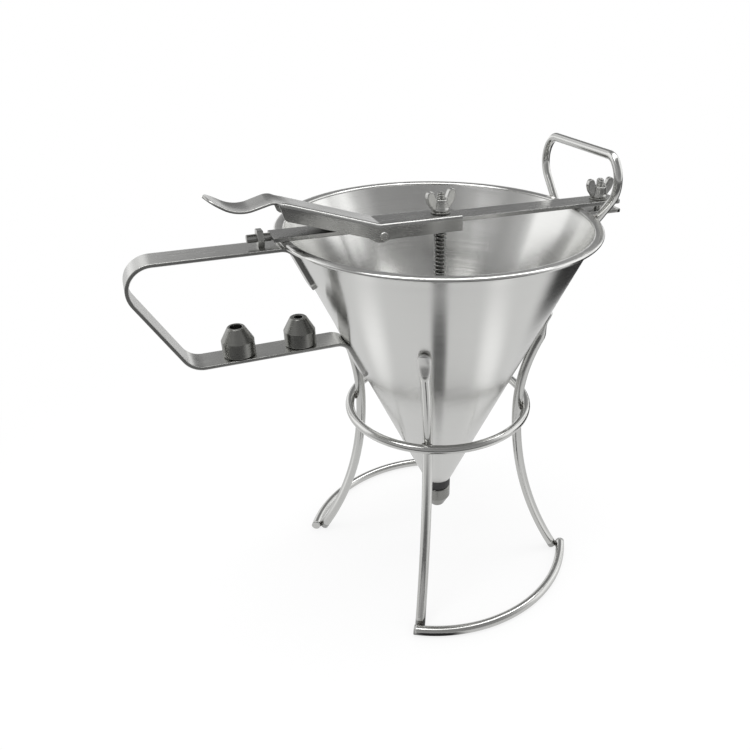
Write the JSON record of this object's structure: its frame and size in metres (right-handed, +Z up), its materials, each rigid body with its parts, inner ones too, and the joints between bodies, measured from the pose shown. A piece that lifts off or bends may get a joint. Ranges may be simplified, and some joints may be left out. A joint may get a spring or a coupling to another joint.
{
  "type": "batter dispenser",
  "caption": "Conical hopper with a lever-lifted stopper valve, a bent strip handle that holds spare nozzles, and a four-legged wire stand.",
  "frame": {"origin": "on the table, under the axis of the hopper and the stand", "axes": "+Z up along the hopper's axis; +X along the bridge bar towards the wire loop, so the handle is at -X; +Y completes the right-handed frame"},
  "size_m": [0.305, 0.1962, 0.2891],
  "materials": {
    "satin_sheet": "satin",
    "polished_wire": "polished",
    "turned_steel": "turned",
    "spring_wire": "drawn wire",
    "black_rubber": "matt"
  },
  "bodies": {
    "stand": {"stand_ring": "polished_wire", "front_leg": "polished_wire", "right_leg": "polished_wire", "back_leg": "polished_wire", "left_leg": "polished_wire", "front_base_arc": "polished_wire", "rear_base_arc": "polished_wire"},
    "funnel": {"hopper": "satin_sheet", "outlet_collar": "turned_steel", "seal_ring": "black_rubber", "nozzle_pegs": "turned_steel", "handle": "satin_sheet", "pin_eye": "turned_steel", "wire_loop": "polished_wire", "clamp_lug": "satin_sheet", "clamp_stud": "turned_steel", "clamp_washer": "satin_sheet", "bridge_bar": "satin_sheet", "bridge_pin": "turned_steel", "fulcrum_sleeve": "satin_sheet"},
    "lever": {"lever": "satin_sheet", "lever_pin": "turned_steel"},
    "valve_rod": {"rod": "turned_steel", "valve_stopper": "turned_steel", "spring_collar": "turned_steel", "rod_washer": "satin_sheet", "spring": "spring_wire"},
    "rod_nut": {"rod_wing_nut": "turned_steel"},
    "clamp_nut": {"clamp_wing_nut": "turned_steel"},
    "nozzle": {"fitted_nozzle": "turned_steel"},
    "spare_wide": {"spare_nozzle_wide": "turned_steel"},
    "spare_medium": {"spare_nozzle_medium": "turned_steel"}
  },
  "joints": [
    {"name": "funnel_lift", "type": "slide", "parent": "stand", "child": "funnel", "axis": [0, 0, 1], "range_m": [0, 0.2]},
    {"name": "lever_press", "type": "hinge", "parent": "funnel", "child": "lever", "pos_m": [-0.0395, 0, 0.2467], "axis": [0, -1, 0], "range_deg": [0, 9]},
    {"name": "rod_lift", "type": "slide", "parent": "funnel", "child": "valve_rod", "axis": [0, 0, 1], "range_m": [0, 0.0075], "stiffness_N_per_m": 300, "springref_m": -0.012, "deforming": ["spring"]},
    {"name": "rod_nut_turn", "type": "hinge", "parent": "valve_rod", "child": "rod_nut", "pos_m": [0, 0, 0.255], "axis": [0, 0, 1], "continuous": true},
    {"name": "clamp_nut_turn", "type": "hinge", "parent": "funnel", "child": "clamp_nut", "pos_m": [0.114, 0, 0.253], "axis": [0, 0, 1], "continuous": true},
    {"name": "nozzle_turn", "type": "hinge", "parent": "funnel", "child": "nozzle", "pos_m": [0, 0, 0.052], "axis": [0, 0, 1], "continuous": true},
    {"name": "spare_wide_lift", "type": "slide", "parent": "funnel", "child": "spare_wide", "axis": [0, 0, 1], "range_m": [0, 0.02]},
    {"name": "spare_medium_lift", "type": "slide", "parent": "funnel", "child": "spare_medium", "axis": [0, 0, 1], "range_m": [0, 0.02]}
  ],
  "couplings": [
    {"joint": "rod_lift", "follows": "lever_press", "m_per_rad": 0.0471}
  ]
}
